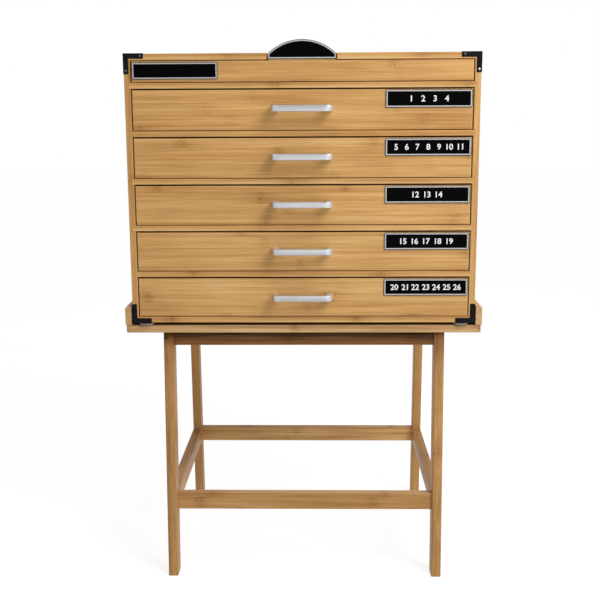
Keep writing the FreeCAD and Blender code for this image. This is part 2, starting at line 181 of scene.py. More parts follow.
# Plates and their numbers
RIM = 0.85 * MM               # black cut edge round a plate
RIM_BLUR = 0.2                # of the rim's width
PLATE_BORDER = 2.4 * MM
PLATE_RECESS = 0.5 * MM
DOME_RISE = 19.3 * MM
FIELD_THICKNESS = 0.15 * MM
FIELD_CROWN = 0.04 * MM
FIELD_POINTS = (25, 9)        # across and up
NUMBER_HEIGHT = 8.5 * MM
NUMBER_THICKNESS = 0.1 * MM
NUMBER_PITCH = 16.6 * MM
LONG_ROW_PITCH = 15.1 * MM
LONG_ROW = 7
NUMBER_GROUPS = [4, 7, 3, 5, 7]
LETTER_BOLDNESS = 0.02        # of the type's size, and so is the next
LETTER_DEPTH = 0.01

# Nails, bolts and feet. Profiles are (radius, along) in millimetres
GUARD_ARM = 7.5 * MM
GUARD_REACH = 28.5 * MM
NAIL_RADIUS = 1.6 * MM
NAIL_DOME = 0.8 * MM
NAIL_END_DISTANCE = 4.5 * MM
NAIL_POINTS = 16              # round a nail, and its rings
NAIL_RINGS = 7
NAIL_TIP = 0.001              # keeps the last ring open, in millimetres
TURNED_POINTS = 24            # round every other turned piece
FOOT_POINTS = 40
SCREW_PROFILE = [
    (4.0, 0.0), (4.0, 0.8), (3.6, 1.6), (2.8, 2.2), (2.2, 2.5),
    (1.5, 2.6), (1.45, 2.5), (1.4, 1.2), (0.7, 1.0), (0.01, 0.9),
]
SCREW_SOCKET_ROWS = [5, 6, 7, 8]
BOLT_PROFILE = [
    (0.01, -50.0), (2.0, -50.0), (2.5, -49.4), (2.5, -0.2), (2.6, 0.0), (4.1, 0.0), (4.25, 0.15),
    (4.25, 3.6), (3.85, 4.0), (2.3, 4.0), (2.0, 3.85), (1.95, 1.6), (1.0, 1.3), (0.01, 1.2),
]
BOLT_SOCKET_ROWS = [10, 11, 12]
BOLT_HEAD = 4.0 * MM
FOOT_RADIUS = 11.0 * MM
FOOT_ROWS = [                 # shares of the radius and of the height, from the top's middle
    (0.02, 1.0), (0.6, 1.0), (0.92, 1.0), (0.985, 0.93), (1.0, 0.8), (1.0, 0.62),
    (0.985, 0.42), (0.94, 0.2), (0.88, 0.06), (0.82, 0.0), (0.5, 0.0), (0.02, 0.0),
]
FOOT_CLEARANCE = 0.2 * MM

MERGE_DISTANCE = 1e-7
SHARP_EDGE = math.radians(38)

# Studio
AMBIENT = 0.27                # strength of the white world as a light
FLOOR_WHITE = 0.82
FLOOR_BOUNCE = 0.32           # light that the white floor throws back up
FLOOR_DEPTH = 0.5 * MM        # under the feet, so that they don't share a plane
FLOOR_CORNERS = [(-6.0, -6.0), (6.0, -6.0), (6.0, 12.0), (-6.0, 12.0)]
FLOOR_TONES = (0.34, 0.34, 0.34), (0.38, 0.38, 0.38)
FLOOR_ROUGHNESS = 0.9
MOTTLE_CELLS = 4.0
WHITE = (1.0, 1.0, 1.0, 1.0)

# Lamps: place, target, width and height in metres, and power in watts
LAMPS = {
    "key": ((1.05, -1.25, 1.35), (0.15, -0.1, 0.65), (0.9, 0.5), 8.0),
    "upper": ((0.85, -0.95, 1.75), (0.25, -0.15, 0.75), (0.8, 0.8), 12.5),
    "low": ((0.35, -1.9, 0.45), (0.0, 0.1, 0.25), (1.2, 0.4), 3.4),
    "fill": ((-1.6, -1.9, 1.1), (0.0, 0.0, 0.5), (1.6, 1.6), 0.3),
    "top": ((0.2, 0.6, 2.4), (0.0, 0.0, 0.6), (1.4, 1.4), 8.0),
}


# Node helpers


def new_material(name):
    """A material with only its shader and output: the material, its node tree, the shader."""
    material = bpy.data.materials.new(name)
    material.use_nodes = True
    tree = material.node_tree
    tree.nodes.clear()
    shader = tree.nodes.new("ShaderNodeBsdfPrincipled")
    output = tree.nodes.new("ShaderNodeOutputMaterial")
    tree.links.new(shader.outputs["BSDF"], output.inputs["Surface"])
    return material, tree, shader


def feed(tree, value, socket):
    """Links a socket, or sets a plain value."""
    if isinstance(value, bpy.types.NodeSocket):
        tree.links.new(value, socket)
    else:
        socket.default_value = value


def calc(tree, operation, a, b=0.0, c=0.0):
    node = tree.nodes.new("ShaderNodeMath")
    node.operation = operation
    for value, socket in zip((a, b, c), node.inputs):
        feed(tree, value, socket)
    return node.outputs[0]


def blend_colour(tree, factor, a, b, mode="MIX"):
    node = tree.nodes.new("ShaderNodeMix")
    node.data_type = "RGBA"
    node.blend_type = mode
    feed(tree, factor, node.inputs[0])
    for value, socket in ((a, node.inputs[6]), (b, node.inputs[7])):
        feed(tree, value if isinstance(value, bpy.types.NodeSocket) else (*value, 1.0), socket)
    return node.outputs[2]


def noise(tree, vector, scale, detail=2.0, roughness=0.5):
    node = tree.nodes.new("ShaderNodeTexNoise")
    tree.links.new(vector, node.inputs["Vector"])
    node.inputs["Scale"].default_value = scale
    node.inputs["Detail"].default_value = detail
    node.inputs["Roughness"].default_value = roughness
    return node.outputs["Fac"]


def ramp(tree, value, low, high, out_low=0.0, out_high=1.0):
    """A smooth step from out_low to out_high while value goes from low to high."""
    node = tree.nodes.new("ShaderNodeMapRange")
    node.interpolation_type = "SMOOTHSTEP"
    feed(tree, value, node.inputs["Value"])
    limits = {"From Min": low, "From Max": high, "To Min": out_low, "To Max": out_high}
    for name, limit in limits.items():
        node.inputs[name].default_value = limit
    return node.outputs["Result"]


def combine(tree, x, y, z):
    node = tree.nodes.new("ShaderNodeCombineXYZ")
    for value, socket in zip((x, y, z), node.inputs):
        feed(tree, value, socket)
    return node.outputs[0]


def add_bump(tree, shader, height, strength, distance):
    node = tree.nodes.new("ShaderNodeBump")
    node.inputs["Strength"].default_value = strength
    node.inputs["Distance"].default_value = distance
    tree.links.new(height, node.inputs["Height"])
    tree.links.new(node.outputs["Normal"], shader.inputs["Normal"])


def set_looks(tree, shader, colour, fine, rough, height=None, bump=(), **inputs):
    """Gives a shader its colour, its roughness = (spread with the noise fine, base), its bump
    = (strength, distance) from a height, and plain values for other inputs."""
    tree.links.new(colour, shader.inputs["Base Color"])
    tree.links.new(calc(tree, "MULTIPLY_ADD", fine, *rough), shader.inputs["Roughness"])
    if height is not None:
        add_bump(tree, shader, height, *bump)
    for name, value in inputs.items():
        shader.inputs[INPUT_NAMES[name]].default_value = value


def object_axes(tree):
    """The three object coordinates, in metres."""
    place = tree.nodes.new("ShaderNodeTexCoord").outputs["Object"]
    split = tree.nodes.new("ShaderNodeSeparateXYZ")
    tree.links.new(place, split.inputs[0])
    return place, dict(zip("XYZ", split.outputs))


def drawn_out(tree, along, first, second, cells):
    """Coordinates for a noise whose cells are long: cells per metre along and across."""
    return combine(
        tree,
        calc(tree, "MULTIPLY", along, cells[0]),
        calc(tree, "MULTIPLY", first, cells[1]),
        calc(tree, "MULTIPLY", second, cells[1]),
    )


def off_middle(tree, value, middle=0.5):
    return calc(tree, "SUBTRACT", value, middle)


def add_part(tree, total, value, weight):
    """total + value * weight."""
    return calc(tree, "MULTIPLY_ADD", value, weight, total)


# Materials


def bamboo(name, grain, across, light, dark, seed, edge_shades=()):
    """Bamboo board: strips side by side along the grain, each with its own tone and nodes.

    grain and across are object axes. A strip's tone is white noise of its number, its fibres
    are noise drawn out along the grain, and its nodes are clusters of dashes a fixed distance
    apart, shifted strip by strip. Each of edge_shades = (axis, from, to, shade at from, shade
    at to) darkens or lightens smoothly between two planes: the plies of an edge, a painted
    highlight on a rim, painted shade in a gap. Shade past SHADE_HIGH turns into painted deep
    shade, near-black.
    """
    material, tree, shader = new_material(name)
    place, axis = object_axes(tree)
    thick = ({"X", "Y", "Z"} - {grain, across}).pop()
    sideways, inward = axis[across], axis[thick]

    wander = noise(tree, combine(tree, axis[grain], WANDER_STEP * seed, 0.0), WANDER_CELLS)
    count = calc(tree, "MULTIPLY_ADD", sideways, 1.0 / STRIP_WIDTH, STRIP_STEP * seed)
    count = add_part(tree, count, wander, STRIP_WANDER)
    strip = calc(tree, "FLOOR", count)
    within = calc(tree, "FRACT", count)
    random = tree.nodes.new("ShaderNodeTexWhiteNoise")
    random.noise_dimensions = "2D"
    tree.links.new(combine(tree, strip, float(seed), 0.0), random.inputs["Vector"])
    parts = tree.nodes.new("ShaderNodeSeparateColor")
    tree.links.new(random.outputs["Color"], parts.inputs[0])
    tone, phase, depth = parts.outputs[:3]

    shifted = add_part(tree, axis[grain], phase, FIBRE_SHIFT)
    lines = drawn_out(tree, shifted, sideways, inward, FIBRE_CELLS)
    fibre = noise(tree, lines, 1.0, *FIBRE_DETAIL)
    streak = noise(tree, drawn_out(tree, shifted, sideways, inward, STREAK_CELLS), 1.0)
    cloud = noise(tree, drawn_out(tree, axis[grain], sideways, inward, CLOUD_CELLS), 1.0)
    dash = noise(tree, drawn_out(tree, axis[grain], sideways, inward, DASH_CELLS), 1.0)

    along = calc(tree, "DIVIDE", axis[grain], NODE_SPACING)
    along = add_part(tree, along, phase, NODE_SHIFT)
    gap = calc(tree, "ABSOLUTE", off_middle(tree, calc(tree, "FRACT", along)))
    gap = add_part(tree, gap, off_middle(tree, noise(tree, place, RAGGED_CELLS)), NODE_RAGGED)
    knot = ramp(tree, gap, 0.0, NODE_REACH, 1.0, 0.0)
    halo = ramp(tree, gap, 0.0, HALO_REACH, 1.0, 0.0)
    spots = calc(tree, "MULTIPLY", knot, ramp(tree, dash, *DASH_RANGE))
    flecks = calc(tree, "SUBTRACT", knot, spots)
    seam = ramp(tree, calc(tree, "ABSOLUTE", off_middle(tree, within)), *SEAM_RANGE)

    shade = calc(tree, "MULTIPLY_ADD", tone, TONE_SPREAD, TONE_BASE)
    shade = add_part(tree, shade, off_middle(tree, streak), STREAK_WEIGHT)
    shade = add_part(tree, shade, off_middle(tree, fibre), FIBRE_WEIGHT)
    shade = add_part(tree, shade, off_middle(tree, cloud), CLOUD_WEIGHT)
    shade = add_part(tree, shade, spots, calc(tree, "MULTIPLY_ADD", depth, SPOT_SPREAD, SPOT_BASE))
    shade = add_part(tree, shade, flecks, calc(tree, "MULTIPLY", depth, FLECK_WEIGHT))
    shade = add_part(tree, shade, halo, calc(tree, "MULTIPLY", depth, HALO_WEIGHT))
    shade = add_part(tree, shade, seam, SEAM_WEIGHT)
    for edge_axis, *limits in edge_shades:
        shade = calc(tree, "ADD", shade, ramp(tree, axis[edge_axis], *limits))
    # Shade past SHADE_HIGH is painted deep shade: it turns near-black in gaps and under the tray
    deep_shade = ramp(tree, shade, SHADE_HIGH, DEEP_SHADE_FULL, 0.0, DEEP_SHADE_MOST)
    shade = calc(tree, "MAXIMUM", calc(tree, "MINIMUM", shade, SHADE_HIGH), SHADE_LOW)
    pale = calc(tree, "MULTIPLY", calc(tree, "MINIMUM", shade, 0.0), PALE_GAIN)
    body = calc(tree, "MULTIPLY", calc(tree, "MAXIMUM", shade, 0.0), DARK_GAIN)

    colour = blend_colour(tree, body, light, dark)
    colour = blend_colour(tree, pale, colour, PALE_FIBRE_AND_HIGHLIGHT)
    colour = blend_colour(tree, deep_shade, colour, DEEP_SHADE_COLOUR)
    warmth = calc(tree, "MULTIPLY", tone, WARM_SHARE)
    colour = blend_colour(tree, warmth, colour, WARM_TINT, "MULTIPLY")
    relief = calc(tree, "MULTIPLY", fibre, FIBRE_RELIEF)
    relief = calc(tree, "MULTIPLY_ADD", knot, NODE_RELIEF, relief)
    relief = calc(tree, "SUBTRACT", relief, calc(tree, "MULTIPLY", seam, SEAM_RELIEF))
    set_looks(tree, shader, colour, fibre, WOOD_ROUGH, relief, WOOD_BUMP)
    specular = calc(tree, "MULTIPLY_ADD", deep_shade, DEEP_SHADE_SPECULAR, WOOD_SPECULAR)
    tree.links.new(specular, shader.inputs["Specular IOR Level"])
    return material


def satin_aluminium():
    """Anodised aluminium, finely brushed along its length, with a painted highlight at its bends.
    """
    material, tree, shader = new_material("satin_aluminium")
    place, axis = object_axes(tree)
    lines = noise(tree, drawn_out(tree, axis["X"], axis["Y"], axis["Z"], BRUSHED_CELLS), 1.0)
    smear = noise(tree, place, SMEAR_CELLS)
    colour = blend_colour(tree, smear, *PULL_TONES)
    from_middle = calc(tree, "ABSOLUTE", axis["X"])
    bend_highlight = ramp(tree, from_middle, *PULL_HIGHLIGHT_RANGE, 0.0, PULL_HIGHLIGHT_SHARE)
    colour = blend_colour(tree, bend_highlight, colour, PULL_BEND_HIGHLIGHT)
    set_looks(tree, shader, colour, lines, BRUSHED_ROUGH, lines, BRUSHED_BUMP, metallic=0.55)
    return material


def plate_silver(name, node, arch=None):
    """Bright border of a plate, lightly tarnished, its cut rim black.

    The rim is where the distance to the nearest side of the plate is under RIM: the sides of
    its box, or for the domed plate its foot, its ends and the arch (centre height, radius).
    """
    material, tree, shader = new_material(name)
    place, axis = object_axes(tree)
    low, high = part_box(node)
    from_left = calc(tree, "SUBTRACT", axis["X"], low.x)
    from_right = calc(tree, "SUBTRACT", high.x, axis["X"])
    near = calc(tree, "MINIMUM", from_left, from_right)
    near = calc(tree, "MINIMUM", near, calc(tree, "SUBTRACT", axis["Z"], low.z))
    if arch:
        centre_z, radius = arch
        rise = calc(tree, "SUBTRACT", axis["Z"], centre_z)
        across = calc(tree, "POWER", axis["X"], 2.0)
        far = calc(tree, "SQRT", calc(tree, "MULTIPLY_ADD", rise, rise, across))
        near = calc(tree, "MINIMUM", near, calc(tree, "SUBTRACT", radius, far))
    else:
        near = calc(tree, "MINIMUM", near, calc(tree, "SUBTRACT", high.z, axis["Z"]))
    stain = noise(tree, place, STAIN_CELLS, *WORN_DETAIL)
    bright = blend_colour(tree, stain, *PLATE_TONES)
    inside = ramp(tree, near, RIM * (1.0 - RIM_BLUR), RIM * (1.0 + RIM_BLUR))
    colour = blend_colour(tree, inside, CUT_EDGE, bright)
    set_looks(tree, shader, colour, stain, STAIN_ROUGH, stain, STAIN_BUMP, metallic=0.85)
    return material


def black_enamel():
    """Smooth black field of a plate, with the faint orange peel of enamel."""
    material, tree, shader = new_material("black_enamel")
    place, _ = object_axes(tree)
    peel = noise(tree, place, PEEL_CELLS, detail=1.0)
    dust = noise(tree, place, DUST_CELLS, detail=3.0)
    colour = blend_colour(tree, dust, *ENAMEL_TONES)
    set_looks(tree, shader, colour, dust, ENAMEL_ROUGH, peel, PEEL_BUMP, specular=0.01)
    return material


def speckled(name, **inputs):
    """A material of the SPECKLES: its tone and roughness follow one fine noise."""
    cells, dark, light, rough = SPECKLES[name]
    material, tree, shader = new_material(name)
    place, _ = object_axes(tree)
    speckle = noise(tree, place, cells)
    colour = blend_colour(tree, speckle, dark, light)
    set_looks(tree, shader, colour, speckle, rough, **inputs)
    return material


def black_lacquer():
    """Pressed steel under black lacquer, rubbed a little grey in spots."""
    material, tree, shader = new_material("black_lacquer")
    place, _ = object_axes(tree)
    rub = noise(tree, place, RUB_CELLS, *WORN_DETAIL)
    worn = ramp(tree, rub, *RUB_RANGE)
    colour = blend_colour(tree, worn, *LACQUER_TONES)
    set_looks(tree, shader, colour, rub, RUB_ROUGH, rub, RUB_BUMP, specular=0.08)
    return material


# Surfaces


def close_up(mesh):
    """Merges points that coincide and turns a closed mesh so that it faces outward."""
    work = bmesh.new()
    work.from_mesh(mesh)
    bmesh.ops.remove_doubles(work, verts=work.verts, dist=MERGE_DISTANCE)
    bmesh.ops.dissolve_degenerate(work, edges=work.edges, dist=MERGE_DISTANCE)
    if work.calc_volume(signed=True) < 0.0:
        bmesh.ops.reverse_faces(work, faces=work.faces)
    work.to_mesh(mesh)
    work.free()


def border_of(rows, columns):
    """Numbers of the points round a grid's border, its four corners left out."""
    left = [row * columns for row in range(1, rows - 1)]
    top = [(rows - 1) * columns + column for column in range(1, columns - 1)]
    right = [row * columns + columns - 1 for row in range(rows - 2, 0, -1)]
    bottom = list(range(columns - 2, 0, -1))
    return left + top + right + bottom


def surface(name, points, material, body, close_v=False, caps=False, back=False):
    """A closed mesh from a grid of points, point (i, j) joined to (i + 1, j) and (i, j + 1).

    close_v joins the last column to the first. caps closes the first and last row with one
    face each. back closes a sheet with one face on its border.
    """
    rows, columns = points.shape[:2]
    i, j = np.meshgrid(np.arange(rows - 1), np.arange(columns - (not close_v)), indexing="ij")
    i, j = i.ravel(), j.ravel()
    next_i, next_j = i + 1, (j + 1) % columns
    corners = (i, j), (next_i, j), (next_i, next_j), (i, next_j)
    face_list = np.stack([row * columns + column for row, column in corners], 1).tolist()
    if caps:
        face_list.append(list(range(columns)))
        face_list.append(list(range((rows - 1) * columns, rows * columns))[::-1])
    if back:
        face_list.append(border_of(rows, columns)[::-1])
    mesh = bpy.data.meshes.new(name)
    mesh.from_pydata(points.reshape(-1, 3).tolist(), [], face_list)
    close_up(mesh)
    mesh.shade_smooth()
    mesh.set_sharp_from_angle(angle=SHARP_EDGE)
    return finish_piece(name, mesh, material, body)


def finish_piece(name, mesh, material, body):
    """Puts a mesh in the scene as a piece that rides on a body."""
    piece = bpy.data.objects.new(name, mesh)
    bpy.context.scene.collection.objects.link(piece)
    mesh.materials.clear()
    mesh.materials.append(material)
    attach(piece, body)
    return piece


def rounded_section(round_a, round_b, count):
    """Rectangle from -1 to 1 with quarter-ellipse corners of half-axes round_a and round_b."""
    turn = np.linspace(0.0, np.pi / 2, count)
    corner_a = 1.0 - round_a * (1.0 - np.cos(turn))
    corner_b = 1.0 - round_b * (1.0 - np.sin(turn))
    a = np.concatenate([corner_a, -corner_a[::-1], -corner_a, corner_a[::-1]])
    b = np.concatenate([corner_b, corner_b[::-1], -corner_b, -corner_b[::-1]])
    return a, b


def bend(centre, radius, start, stop, count):
    """Points on an arc, angles in degrees."""
    turn = np.radians(np.linspace(start, stop, count))
    return np.stack([centre[0] + radius * np.cos(turn), centre[1] + radius * np.sin(turn)], 1)


def bow_rail(half, reach, radius, face):
    """One edge of the bow, seen from above: out from the face, round, across, round and back."""
    front = face - reach
    left = np.linspace((-half, face), (-half, front + radius), POST_POINTS)
    first = bend((-half + radius, front + radius), radius, 180, 270, BEND_POINTS)
    bar = np.linspace((-half + radius, front), (half - radius, front), BAR_POINTS)
    second = bend((half - radius, front + radius), radius, 270, 360, BEND_POINTS)
    right = np.linspace((half, front + radius), (half, face), POST_POINTS)
    return np.concatenate([left, first[1:], bar[1:], second[1:], right[1:]])


def bow_pull(name, node, material, body):
    """A bow pull: for each place along it a rounded section between its outer and inner edge."""
    low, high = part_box(node)
    half, reach = (high.x - low.x) / 2, chest_front - low.y
    centre_z, half_height = (low.z + high.z) / 2, (high.z - low.z) / 2
    outer = bow_rail(half, reach, PULL_OUTER_ROUND, chest_front)
    inner = bow_rail(half - PULL_POST, reach - PULL_BAR, PULL_INNER_ROUND, chest_front)
    rounds = PULL_EDGE_ROUND / (PULL_BAR / 2), PULL_EDGE_ROUND / half_height
    a, b = rounded_section(*rounds, SECTION_POINTS)
    share = (a + 1.0)[None, :, None] / 2.0
    flat = outer[:, None, :] * (1.0 - share) + inner[:, None, :] * share
    height = np.broadcast_to(centre_z + half_height * b, flat.shape[:2])
    points = np.concatenate([flat, height[..., None]], 2)
    return surface(name, points, material, body, close_v=True, caps=True)


def turned(name, profile, centre, material, body, count=TURNED_POINTS, axis="Y", side=1.0,
           shape=None):
    """A turned piece: a profile swept round a centre, about an axis along X or Y.

    profile is rows of (radius, along) in millimetres, and along grows towards side on the
    axis. shape(row, turn) scales the radius of a row, as for the rings of a hexagon socket,
    where it is 1 / cos of the angle to the nearest flat.
    """
    angle = np.linspace(0.0, 2.0 * np.pi, count, endpoint=False)
    radius, along = np.asarray(profile, float).T * MM
    r, turn = np.meshgrid(radius, angle, indexing="ij")
    if shape:
        r = r * shape(np.arange(len(radius))[:, None], turn)
    forward = np.broadcast_to(side * along[:, None], r.shape)
    flat, up = r * np.cos(turn), side * r * np.sin(turn)
    offsets = [forward, flat, up] if axis == "X" else [flat, forward, -up]
    points = np.stack([middle + offset for middle, offset in zip(centre, offsets)], 2)
    return surface(name, points, material, body, close_v=True, caps=True)


def enamel_field(name, xs, low_z, top_z, y_back, y_front, material, body):
    """A plate's enamel field: crowned across its middle by a few hundredths, its rim turned back.

    The grid runs across in X and up from low_z to top_z(x). Its depth is
    y_front - crown * (1 - u^2) * (1 - v^2), and one more ring of points goes back to y_back.
    """
    u, v = (
        np.concatenate([[-1.0], np.linspace(-1.0, 1.0, count), [1.0]]) for count in FIELD_POINTS
    )
    across, up = np.meshgrid(u, v, indexing="ij")
    left, right = xs
    x = (left + right) / 2 + across * (right - left) / 2
    z = low_z + (up + 1.0) / 2.0 * (top_z(x) - low_z)
    crown = FIELD_CROWN * (1.0 - across ** 2) * (1.0 - up ** 2)
    y = np.full(x.shape, y_front) - crown
    y[[0, -1], :] = y_back
    y[:, [0, -1]] = y_back
    return surface(name, np.stack([x, y, z], 2), material, body, back=True)


def type_mesh(word):
    """Points and faces of a word cut from thin sheet, in the type's own units."""
    curve = bpy.data.curves.new(word, "FONT")
    curve.body = word
    curve.size = 1.0
    curve.extrude = LETTER_DEPTH
    curve.bevel_depth = LETTER_BOLDNESS
    curve.bevel_resolution = 0
    holder = bpy.data.objects.new(word, curve)
    bpy.context.scene.collection.objects.link(holder)
    bpy.context.view_layer.update()
    final = holder.evaluated_get(bpy.context.evaluated_depsgraph_get())
    mesh = bpy.data.meshes.new_from_object(final)
    bpy.data.objects.remove(holder)
    points = np.empty(len(mesh.vertices) * 3)
    mesh.vertices.foreach_get("co", points)
    return points.reshape(-1, 3), [list(face.vertices) for face in mesh.polygons]


def number_row(name, words, centre, pitch, material, body):
    """Plain numbers side by side at an even pitch, laid on the enamel."""
    all_points, all_faces, start = [], [], 0
    for place, word in enumerate(words):
        points, faces = type_mesh(word)
        across, up, deep = points.T
        size = NUMBER_HEIGHT / np.ptp(up)
        shift = (place - (len(words) - 1) / 2) * pitch
        x = centre[0] + shift + (across - (across.min() + across.max()) / 2) * size
        y = centre[1] - NUMBER_THICKNESS * (deep > 0)
        z = centre[2] - NUMBER_HEIGHT / 2 + (up - up.min()) * size
        all_points.append(np.stack([x, y, z], 1))
        all_faces += [[index + start for index in face] for face in faces]
        start += len(points)
    mesh = bpy.data.meshes.new(name)
    mesh.from_pydata(np.concatenate(all_points).tolist(), [], all_faces)
    close_up(mesh)
    return finish_piece(name, mesh, material, body)


aluminium = satin_aluminium()
enamel = black_enamel()
lacquer = black_lacquer()
paint = speckled("white_paint")                                           # screen-printed
silicone_and_sheen = speckled("clear_bumper_and_sheen", transmission=0.2, specular=0.2)       # cloudy and clear, tones lightened as painted sheen
zinc = speckled("zinc_steel", metallic=1.0)                               # fine spangle
nail_steel = speckled("dark_steel", metallic=0.9)                         # blackened, polished


def dress(node, material):
    """Gives a CAD node its material."""
    slots = nodes[node].data.materials
    slots.clear()
    slots.append(material)


# Boards: the axis along the grain and the axis across the strips. Their order sets the
# seeds of the figure.
GRAIN = {}
for names, axes in (
    ("tray_board", "XY"),
    ("tray_rail_right tray_rail_left", "YZ"),
    ("leg_front_right leg_front_left leg_rear_right leg_rear_left", "ZY"),
    ("apron_front apron_rear", "XZ"),
    ("apron_right apron_left", "YZ"),
    ("stretcher_front stretcher_rear", "XZ"),
    ("stretcher_right stretcher_left", "YZ"),
    ("chest_side_right chest_side_left", "ZY"),
    ("chest_top chest_bottom", "XY"),
    ("chest_back_panel", "XZ"),
    ("shelf_1 shelf_2 shelf_3 shelf_4 shelf_5", "XY"),
):
    GRAIN.update(dict.fromkeys(names.split(), axes))
for body in DRAWERS + ["index_drawer"]:
    GRAIN.update({body + "_front": "XZ", body + "_box": "YZ", body + "_floor": "XY"})

# Light and dark fibre of each board, by how its name starts; the first that fits counts.
# The aprons' pair is darkened as painted shade, the rear parts' colours lightened as painted light
TONES = {
    "tray": (TRAY_LIGHT, TRAY_DARK),
    "stretcher_rear": (LIT_REAR_LIGHT, STAND_DARK),
    "stretcher": (STAND_LIGHT, STAND_DARK),
    "leg_rear": (STAND_LIGHT, LIT_REAR_LEG_DARK),
    "leg": (STAND_LIGHT, STAND_DARK),
    "apron": (SHADED_APRON_LIGHT, SHADED_APRON_DARK),
    "": (CHEST_LIGHT, CHEST_DARK),
}

# Plies seen on long edges, and painted light and shade on them, in the same way: from and to
# as shares of the board's height, then the shade added at from and at to. The light lower rim
# of shelves 1, 3, 4, 5 and of the top is a painted highlight, the dark lower rim of the chest's
# bottom painted shade over the tray, the aprons' darkening towards their top painted shade
# under the tray
PLIES_AND_PAINTED_LIGHT = {
    "chest_bottom": [(0.25, 0.7, -0.30, 0.34), (0.0, 0.12, 2.2, 0.0)],
    "chest_top": [(0.25, 0.7, -0.30, 0.34), (0.05, 0.2, -0.45, 0.0)],
    "shelf_2": [(0.1, 0.4, 0.15, 0.55), (0.4, 0.7, 0.0, -0.75)],
    "shelf": [(0.25, 0.7, -0.30, 0.34), (0.05, 0.2, -0.45, 0.0)],
    "tray_board": [(0.3, 0.8, -0.25, 0.25)],
    "apron": [(0.0, 1.0, 0.0, 2.4)],
    "": [],
}

# Painted light and shade on a whole top face: painted shade on the tray's top in the gap under
# the chest, a painted highlight on the front stretcher's top
PAINTED_TOP_FACES = {"tray_board": 0.7, "stretcher_front": -0.9}


def first_fit(table, node):
    return next(value for start, value in table.items() if node.startswith(start))


# A rim's depths, from where it begins to where it is full: a whole face, and a painted
# highlight along the top and along the right
WHOLE_FACE = (0.25 * MM, 0.1 * MM)
TOP_HIGHLIGHT_DEPTHS = (2.2 * MM, 1.2 * MM)
RIGHT_HIGHLIGHT_DEPTHS = (2.0 * MM, 1.0 * MM)

# A drawer front: height and shade of its foot, then its painted highlights and painted gap shade
FRONT_FOOT = (5.0 * MM, 0.40)
FRONT_HIGHLIGHTS = {"top": -0.40, "right": -0.50}
FRONT_GAP_SHADE = {"top": 2.4, "right": 1.6, "left": 1.2}

# A side board of the chest: how far each ply, and the right board's painted highlight, reaches,
# as a share of the thickness, and its shade
RIGHT_SIDE_HIGHLIGHT = (0.15, -0.55)
LEFT_SIDE_OUTER = (0.45, 0.35)
LEFT_SIDE_INNER = (0.15, -0.35)

# Where a leg's two plies meet, as a share of its thickness from the outer face, half the
# width of that line, and the shades outside and inside it
GLUE_PLACE = 0.42
GLUE_HALF = 0.4 * MM
LEFT_LEG_TONES = (0.45, 0.0)
RIGHT_LEG_TONES = (0.0, -0.25)

# Deep shade at the top of the legs: how far below their top it begins and is full, then the
# shade added
LEFT_LEG_SHADED = (38.0 * MM, 0.0)
RIGHT_LEG_SHADED = (24.0 * MM, 0.0)
REAR_LEG_SHADED = (17.0 * MM, 1.0 * MM)
FRONT_LEG_SHADE = 3.0
REAR_LEG_SHADE = 2.2


def rim_shade(axis, limit, direction, shade, depths=WHOLE_FACE):
    """Shade of a board's rim at its limit on an axis. direction is 1 at the high limit and -1
    at the low one, and depths say where the shade begins and where it is full."""
    begin, full = depths
    if direction > 0:
        return axis, limit - begin, limit - full, 0.0, shade
    return axis, limit + full, limit + begin, shade, 0.0


def front_shades(low, high):
    """A drawer front: shaded foot, painted highlights on its top and right rims, painted shade on
    its faces in the gaps.
    """
    foot_height, foot_shade = FRONT_FOOT
    return [
        ("Z", low.z, low.z + foot_height, foot_shade, 0.0),
        rim_shade("Z", high.z, 1, FRONT_HIGHLIGHTS["top"], TOP_HIGHLIGHT_DEPTHS),
        rim_shade("X", high.x, 1, FRONT_HIGHLIGHTS["right"], RIGHT_HIGHLIGHT_DEPTHS),
        rim_shade("Z", high.z, 1, FRONT_GAP_SHADE["top"]),
        rim_shade("X", high.x, 1, FRONT_GAP_SHADE["right"]),
        rim_shade("X", low.x, -1, FRONT_GAP_SHADE["left"]),
    ]


def leg_shades(node, low, high):
    """A leg: the glue line between its two plies, and the deep shade under the tray."""
    left = low.x < 0
    outer, inner = (low.x, high.x) if left else (high.x, low.x)
    seam = outer + (inner - outer) * GLUE_PLACE
    tones = LEFT_LEG_TONES if left else RIGHT_LEG_TONES
    glue_line = ("X", seam - GLUE_HALF, seam + GLUE_HALF, *tones)
    if node.startswith("leg_rear"):
        depths, shade = REAR_LEG_SHADED, REAR_LEG_SHADE
    else:
        depths, shade = LEFT_LEG_SHADED if left else RIGHT_LEG_SHADED, FRONT_LEG_SHADE
    return [glue_line, rim_shade("Z", high.z, 1, shade, depths)]


def side_shades(low, high):
    """A side board of the chest: on the right a painted highlight along the inner rim, on the left
    two plies.
    """
    width = high.x - low.x
    if low.x > 0:
        reach, shade = RIGHT_SIDE_HIGHLIGHT
        return [("X", low.x, low.x + width * reach, shade, 0.0)]
    outer_reach, outer_shade = LEFT_SIDE_OUTER
    inner_reach, inner_shade = LEFT_SIDE_INNER
    return [
        ("X", low.x, low.x + width * outer_reach, 0.0, outer_shade),
        ("X", high.x - width * inner_reach, high.x, 0.0, inner_shade),
    ]


def edge_shades_of(node, low, high):
    """Everything that shades a board by where it is on it, as bamboo() takes it."""
    if node.startswith("leg"):
        return leg_shades(node, low, high)
    if node.startswith("chest_side"):
        return side_shades(low, high)
    if node.startswith(("drawer", "index")) and node.endswith("_front"):
        return front_shades(low, high)
    height = high.z - low.z
    shades = [
        ("Z", low.z + start * height, low.z + stop * height, *tones)
        for start, stop, *tones in first_fit(PLIES_AND_PAINTED_LIGHT, node)
    ]
    if node in PAINTED_TOP_FACES:
        shades.append(rim_shade("Z", high.z, 1, PAINTED_TOP_FACES[node]))
    return shades


